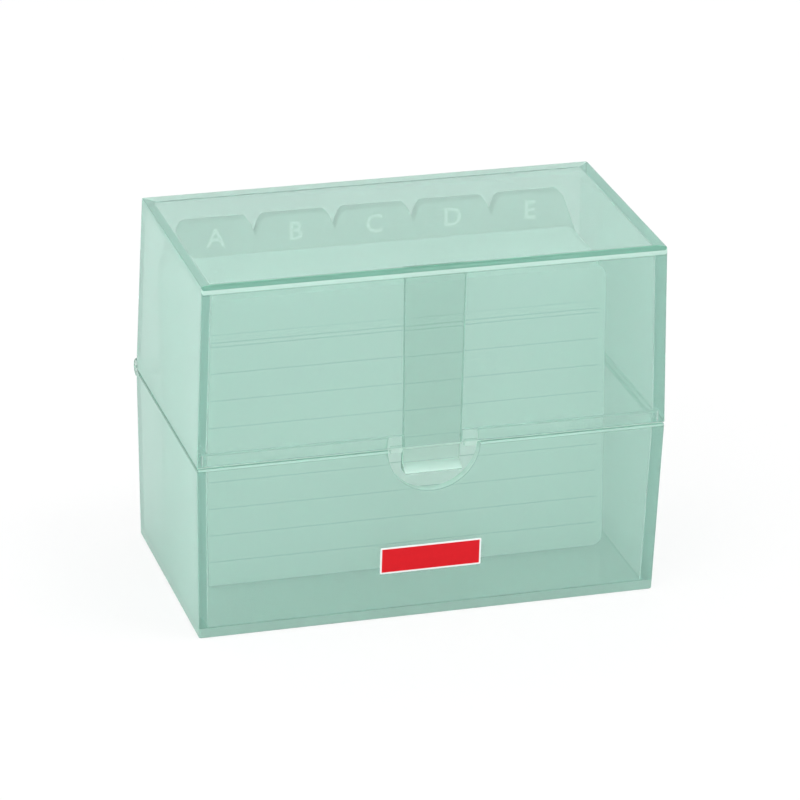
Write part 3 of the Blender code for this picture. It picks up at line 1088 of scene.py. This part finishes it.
def lid_face(shape, place, normal):
    """The kind of a face of the lid, by its middle and normal."""
    m, c = shape.m, shape.c
    depth = place.y - shape.lid_front(0.0, place.z)[0]
    outside = outwards(shape, place, normal)
    if place.z < PARTING and depth < 2 * m.wall + c.strip_thickness:
        return tongue_face(shape, place, normal)
    if m.wall < depth < m.wall + 2 * c.strip_thickness and abs(normal.z) < HALFWAY:
        if abs(place.x) < c.strip_top_width / 2 + c.strip_round:
            return "strip"
    top = top_face(shape, place, normal)
    if top:
        return top
    # The lid's lower outer rounding gets painted light at the front and a painted dark line at the sides.
    if place.z < shape.rim + m.skirt_round and outside > PARTLY and normal.z < -BARELY:
        return "cut" if -normal.y > abs(normal.x) else "line"
    # Its lowest edge gets painted shade.
    if place.z < shape.rim + m.rim_round and normal.z < -HALFWAY:
        return "rim"
    if place.z < shape.rebate + m.rim_round:
        # The level faces inside the parting line get painted light.
        if normal.z < -PARTLY:
            return "hidden"
        if outside < -PARTLY:
            return "wall" if abs(place.x) < c.notch_radius and depth < m.wall else "mate"
    # The outsides of the side walls get painted light.
    return "side" if outside > PARTLY and abs(normal.x) > MOSTLY else "wall"


def show_kinds(mesh, shape, kind_of, faces):
    """Stores each face's haze, painted light and painted shade by its kind."""
    store = mesh.attributes.new(FACE_HAZE_AND_PAINTED_LIGHT, "FLOAT_VECTOR", "FACE")
    for face in mesh.polygons:
        store.data[face.index].vector = getattr(faces, kind_of(shape, face.center, face.normal))
    return mesh


def make_label_mesh(settings, shape):
    """The label's soft-edged film, lying along the tray's draft."""
    label = settings.label
    edge = label.edge_round
    loops = []
    for inset, depth in ((edge, label.film), (0.0, label.film - edge), (0.0, edge), (edge, 0.0)):
        half_width = label.width / 2 - inset
        outline = rounded_outline(half_width, label.height / 2 - inset, label.corner, CORNER_STEPS)
        loops.append([(x, -depth, z) for x, z in outline])
    mesh = lofted("label_shape", loops)
    front = shape.tray_front(-label.gap, LABEL_MIDDLE)
    place = Matrix.Translation((0.0, front, LABEL_MIDDLE))
    mesh.transform(place @ Matrix.Rotation(shape.m.tray_draft, 4, "X"))
    return mesh


def standing(foot, lean):
    """The place of a sheet that stands on its foot and leans back."""
    return Matrix.Translation(foot) @ Matrix.Rotation(-lean, 4, "X")


CARD_SIZES = ("width", "height", "corner", "sheet", "spacing", "in_pack", "stray", "lean")
CARD_INPUTS = {
    **dict.fromkeys(CARD_SIZES, "NodeSocketFloat"),
    "in_pack": "NodeSocketInt",
    "foot": "NodeSocketVector",
    "seed": "NodeSocketInt",
    "paper": "NodeSocketMaterial",
}


def card_tree():
    """A node tree that lays out a pack of round-cornered cards on its foot."""
    tree = bpy.data.node_groups.new("card_pack", "GeometryNodeTree")
    for name, kind in CARD_INPUTS.items():
        tree.interface.new_socket(name=name, in_out="INPUT", socket_type=kind)
    tree.interface.new_socket(name="geometry", in_out="OUTPUT", socket_type="NodeSocketGeometry")
    maker = Maker(tree)
    given = {socket.name: Value(maker, socket) for socket in maker.add("NodeGroupInput").outputs}
    spacing, stray = given["spacing"], given["stray"]

    def shaped(kind, settings=None, **sockets):
        """The shape that a node makes, its sockets written in lower case."""
        named_sockets = {key.replace("_", " ").title(): value for key, value in sockets.items()}
        return maker.add("GeometryNode" + kind, settings, named_sockets).outputs[0]

    outline = shaped("CurvePrimitiveQuadrilateral", width=given["width"], height=given["height"])
    bends = {"curve": outline, "count": CARD_CORNER_STEPS, "radius": given["corner"]}
    face = shaped("FillCurve", {"mode": "NGONS"}, curve=shaped("FilletCurve", {"mode": "POLY"}, **bends))
    body = shaped("ExtrudeMesh", mesh=face, offset_scale=given["sheet"])
    under = shaped("FlipFaces", mesh=face)
    joined = maker.add("GeometryNodeJoinGeometry")
    tree.links.new(body, joined.inputs[0])
    tree.links.new(under, joined.inputs[0])
    card = shaped("MergeByDistance", geometry=joined.outputs[0], distance=MERGE_GAP)
    depth = spacing * given["in_pack"] - spacing + given["sheet"]
    first = maker.vector(0.0, given["height"] / 2, depth / -2)
    step = maker.vector(0.0, 0.0, spacing)
    row = shaped("MeshLine", count=given["in_pack"], start_location=first, offset=step)
    strays = maker.add("FunctionNodeRandomValue", {"data_type": "FLOAT_VECTOR"}, {
        0: maker.vector(stray * -1.0, 0.0, 0.0), 1: maker.vector(stray, 0.0, 0.0), "Seed": given["seed"],
    })
    loose = shaped("SetPosition", geometry=row, offset=strays.outputs[0])
    pack = shaped("InstanceOnPoints", points=loose, instance=card)
    tilt = maker.vector(math.pi / 2 - given["lean"], 0.0, 0.0)
    stood = shaped("Transform", geometry=pack, translation=given["foot"], rotation=tilt)
    solid = shaped("RealizeInstances", geometry=stood)
    made = shaped("SetMaterial", geometry=solid, material=given["paper"])
    maker.add("NodeGroupOutput", None, {0: made})
    return tree


def grown(tree, name, values):
    """What a node tree makes from values for its inputs, as a mesh."""
    sockets = {item.name: item.identifier for item in tree.interface.items_tree if item.in_out == "INPUT"}
    given = {sockets[key]: value for key, value in values.items()}
    return modified(name, bpy.data.meshes.new(name + "_draft"), ("NODES", {"node_group": tree, **given}))


def tab_outline(cards, centre):
    """A tab's edge from its left foot over its top to its right foot."""
    top = cards.height + cards.tab_height
    shoulder = (cards.tab_shoulder / 2, top - cards.tab_shoulder_drop)
    flank = (cards.tab_foot - cards.tab_shoulder) / 2
    steepness = cards.tab_shoulder_drop / (cards.tab_height - cards.tab_shoulder_drop)
    corner = cards.tab_shoulder / 2 - flank * steepness
    right = bend((cards.tab_top / 2, top), (corner, top), shoulder, SHOULDER_STEPS)
    right.append((cards.tab_foot / 2, cards.height))
    left = [(-x, z) for x, z in reversed(right)]
    return [(centre + x, z) for x, z in left + right]


def letter_mesh(cards, text, centre):
    """The print of one tab's letters, standing on the front of the film."""
    curve = bpy.data.curves.new("letter", "FONT")
    curve.body = text
    curve.size = cards.letter_size
    curve.offset = cards.letter_weight
    curve.extrude = cards.letter_print
    curve.align_x = "CENTER"
    curve.align_y = "CENTER"
    curve.resolution_u = LETTER_STEPS
    mesh = modified("letter", curve)
    place = Matrix.Translation((centre, -cards.film / 2, cards.height + cards.letter_rise))
    mesh.transform(place @ Matrix.Rotation(math.pi / 2, 4, "X"))
    return mesh


def divider_mesh(cards, letter, number, foot):
    """A divider: a thin sheet with one tab and the print on it."""
    pitch = (cards.width - cards.tab_foot - 2 * cards.tab_margin) / (cards.tabs_in_row - 1)
    centre = (number % cards.tabs_in_row - (cards.tabs_in_row - 1) / 2) * pitch
    half = cards.width / 2
    outline = tab_outline(cards, centre)
    outline += [(half, cards.height), (half, 0.0), (-half, 0.0), (-half, cards.height)]
    film = lofted("film", [[(x, y, z) for x, z in outline] for y in (-cards.film / 2, cards.film / 2)])
    whole = bmesh.new()
    whole.from_mesh(film)
    plain = len(whole.faces)
    whole.from_mesh(letter_mesh(cards, letter.upper(), centre))
    bmesh.ops.remove_doubles(whole, verts=whole.verts, dist=MERGE_GAP)
    bmesh.ops.recalc_face_normals(whole, faces=whole.faces)
    for face in list(whole.faces)[plain:]:
        face.material_index = 1
    mesh = bpy.data.meshes.new("divider_shape")
    whole.to_mesh(mesh)
    whole.free()
    mesh.transform(standing(foot, cards.lean))
    return mesh


def add_moulding(settings, body, make_mesh, kind_of):
    """The tray or the lid, in the plastic that they share."""
    shape = BoxShape(settings)
    mesh = show_kinds(make_mesh(shape), shape, kind_of, settings.faces)
    mint = bpy.data.materials.get(CLEAR_MINT) or new_material(CLEAR_MINT, mint_plastic, settings.finishes)
    finish_piece(evened(body + "_moulding", mesh), body, body, [mint])


class CARDBOX_OT_tray(Operator):
    """Make the tray with its lip, finger notch and hinge ears"""

    bl_idname = "cardbox.tray"
    bl_label = "Make tray"

    def execute(self, context):
        add_moulding(context.scene.card_box, "tray", make_tray_mesh, tray_face)
        return {"FINISHED"}


class CARDBOX_OT_lid(Operator):
    """Make the lid with its strip, tongue, skirts, knuckles and pins"""

    bl_idname = "cardbox.lid"
    bl_label = "Make lid"

    def execute(self, context):
        add_moulding(context.scene.card_box, "lid", make_lid_mesh, lid_face)
        return {"FINISHED"}


class CARDBOX_OT_label(Operator):
    """Make the bare label on the tray's front"""

    bl_idname = "cardbox.label"
    bl_label = "Make label"

    def execute(self, context):
        settings = context.scene.card_box
        film = new_material("label_paint", label_film, settings.finishes, settings.label)
        piece = evened("label_print", make_label_mesh(settings, BoxShape(settings)))
        finish_piece(piece, "front_label", "tray", [film])
        return {"FINISHED"}


class CARDBOX_OT_cards(Operator):
    """Make the packs of ruled cards"""

    bl_idname = "cardbox.cards"
    bl_label = "Make cards"

    def execute(self, context):
        settings = context.scene.card_box
        tree = card_tree()
        paper = new_material("ruled_card", card_paper, settings.finishes, settings.cards)
        sizes = {name: getattr(settings.cards, name) for name in CARD_SIZES}
        for number, body in enumerate(PACKS):
            name = body.replace("card_pack", "cards")
            values = {**sizes, "foot": JOINT_PLACES[body], "seed": number, "paper": paper}
            piece = new_object(name, grown(tree, name, values))
            finish_piece(piece, body, body, [paper])
        return {"FINISHED"}


class CARDBOX_OT_register(Operator):
    """Make the register of lettered dividers behind the cards"""

    bl_idname = "cardbox.register"
    bl_label = "Make register"

    def execute(self, context):
        settings = context.scene.card_box
        film = new_material("tab_sheet", divider_film, settings.finishes)
        prints = new_material("tab_print", letter_print, settings.finishes)
        for number, body in enumerate(DIVIDERS):
            letter = body.removeprefix("divider_")
            mesh = divider_mesh(settings.cards, letter, number, JOINT_PLACES[body])
            piece = new_object(body.replace("divider", "sheet"), mesh)
            finish_piece(piece, body, body, [film, prints])
        return {"FINISHED"}


def shown_rays(maker, straight=1.0, through=1.0):
    """How much the camera sees by a ray, straight or through glass and gloss."""
    rays = maker.add("ShaderNodeLightPath").outputs
    kinds = ("Camera", "Glossy", "Transmission")
    seen, gloss, glass = [Value(maker, rays[f"Is {kind} Ray"]) for kind in kinds]
    return (seen * straight).over(gloss.over(glass) * through)


def floor_paint(maker, finishes, studio):
    """A pale, faintly mottled floor that looks white but keeps shadows."""
    clouds = maker.noise(maker.place(), *FLOOR_CLOUDS)
    lit = maker.paint({
        "Base Color": maker.spotted(clouds, finishes.floor, FLOOR_SPOTS),
        "Roughness": FLOOR_ROUGHNESS,
    })
    bare = maker.out("ShaderNodeEmission", {"Strength": studio.floor_glow})
    shown = shown_rays(maker, studio.floor_white, studio.floor_through)
    return {"Surface": maker.mix_shader(shown, lit, bare)}


def light_world(studio):
    """Soft light, stronger from the left and above, on a white background."""
    world = bpy.data.worlds.new("studio")
    world.use_nodes = True
    world.node_tree.nodes.clear()
    maker = Maker(world.node_tree)
    right, _, up = maker.parts(maker.add("ShaderNodeTexCoord").outputs["Generated"])
    sky = studio.sky + (right * -1.0).over(0.0) * studio.sky_left + up.over(0.0) * studio.sky_top
    strength = sky + shown_rays(maker) * (1.0 - sky)
    background = maker.out("ShaderNodeBackground", {"Strength": strength})
    maker.add("ShaderNodeOutputWorld", None, {"Surface": background})
    bpy.context.scene.world = world


def add_lamp(name, place, target, size, power):
    """A large soft lamp that points at the box."""
    data = bpy.data.lights.new(name, "AREA")
    data.shape = "SQUARE"
    data.size = size
    data.energy = power
    lamp = new_object(name, data)
    lamp.location = place
    lamp.rotation_euler = (target - place).to_track_quat("-Z", "Y").to_euler()


def add_floor(settings):
    """A wide level floor under the box."""
    studio = settings.studio
    half = studio.floor_size / 2
    sides = ((-half, -half), (half, -half), (half, half), (-half, half))
    mesh = bpy.data.meshes.new("studio_floor")
    mesh.from_pydata([(x, y, -studio.floor_gap) for x, y in sides], [], [range(len(sides))])
    mesh.materials.append(new_material("studio_floor", floor_paint, settings.finishes, studio))
    new_object("studio_floor", mesh)


def add_camera(studio, middle):
    """A camera that looks at the box as the photograph does."""
    ahead = Vector((
        math.sin(studio.yaw) * math.cos(studio.pitch),
        math.cos(studio.yaw) * math.cos(studio.pitch),
        -math.sin(studio.pitch),
    ))
    level = Vector((math.cos(studio.yaw), -math.sin(studio.yaw), 0.0))
    below = ahead.cross(level)
    right = level * math.cos(studio.roll) + below * math.sin(studio.roll)
    down = below * math.cos(studio.roll) - level * math.sin(studio.roll)
    camera = new_object("camera", bpy.data.cameras.new("camera"))
    camera.data.lens = studio.lens
    place = middle - right * studio.aim_right - down * studio.aim_down - ahead * studio.distance
    turn = Matrix((right, -down, -ahead)).transposed().to_4x4()
    camera.matrix_world = Matrix.Translation(place) @ turn
    return camera


def let_light_through(cycles):
    """Enough sharp bounces for light to reach the cards through the plastic."""
    cycles.blur_glossy = 0.0
    cycles.max_bounces = cycles.glossy_bounces = cycles.transmission_bounces = MOST_BOUNCES
    cycles.diffuse_bounces = DIFFUSE_BOUNCES


class CARDBOX_OT_studio(Operator):
    """Make the floor, the light and the camera"""

    bl_idname = "cardbox.studio"
    bl_label = "Make studio"

    def execute(self, context):
        scene = context.scene
        settings = scene.card_box
        middle = Vector((0.0, BoxShape(settings).middle, PARTING))
        add_floor(settings)
        light_world(settings.studio)
        for name, place, size, power in LAMPS:
            add_lamp(name, Vector(place), middle, size, power)
        scene.camera = add_camera(settings.studio, middle)
        scene.view_settings.view_transform = "Standard"
        let_light_through(scene.cycles)
        return {"FINISHED"}


STEPS = (
    CARDBOX_OT_tray,
    CARDBOX_OT_lid,
    CARDBOX_OT_label,
    CARDBOX_OT_cards,
    CARDBOX_OT_register,
    CARDBOX_OT_studio,
)
GROUPS = (
    CARDBOX_PG_mouldings,
    CARDBOX_PG_closure,
    CARDBOX_PG_cards,
    CARDBOX_PG_label,
    CARDBOX_PG_finishes,
    CARDBOX_PG_faces,
    CARDBOX_PG_studio,
    CARDBOX_PG_settings,
)


class CARDBOX_PT_panel(Panel):
    """Sizes, colours and buttons of the card box"""

    bl_label = "Card Box"
    bl_idname = "CARDBOX_PT_panel"
    bl_space_type = "VIEW_3D"
    bl_region_type = "UI"
    bl_category = "Card Box"

    def draw(self, context):
        for step in STEPS:
            self.layout.operator(step.bl_idname)
        settings = context.scene.card_box
        for group in settings.bl_rna.properties:
            if group.type != "POINTER" or group.identifier == "rna_type":
                continue
            box = self.layout.box()
            box.label(text=group.identifier.capitalize())
            values = getattr(settings, group.identifier)
            for item in values.bl_rna.properties:
                if item.identifier not in ("rna_type", "name"):
                    box.prop(values, item.identifier)


CLASSES = (*GROUPS, *STEPS, CARDBOX_PT_panel)


def register():
    """Adds the classes and the scene's settings."""
    for kind in CLASSES:
        bpy.utils.register_class(kind)
    bpy.types.Scene.card_box = PointerProperty(type=CARDBOX_PG_settings)


def unregister():
    """Takes the settings and classes away again."""
    del bpy.types.Scene.card_box
    for kind in reversed(CLASSES):
        bpy.utils.unregister_class(kind)


def main():
    """Makes the whole scene."""
    register()
    for step in STEPS:
        group, name = step.bl_idname.split(".")
        getattr(getattr(bpy.ops, group), name)()


if __name__ == "__main__":
    main()
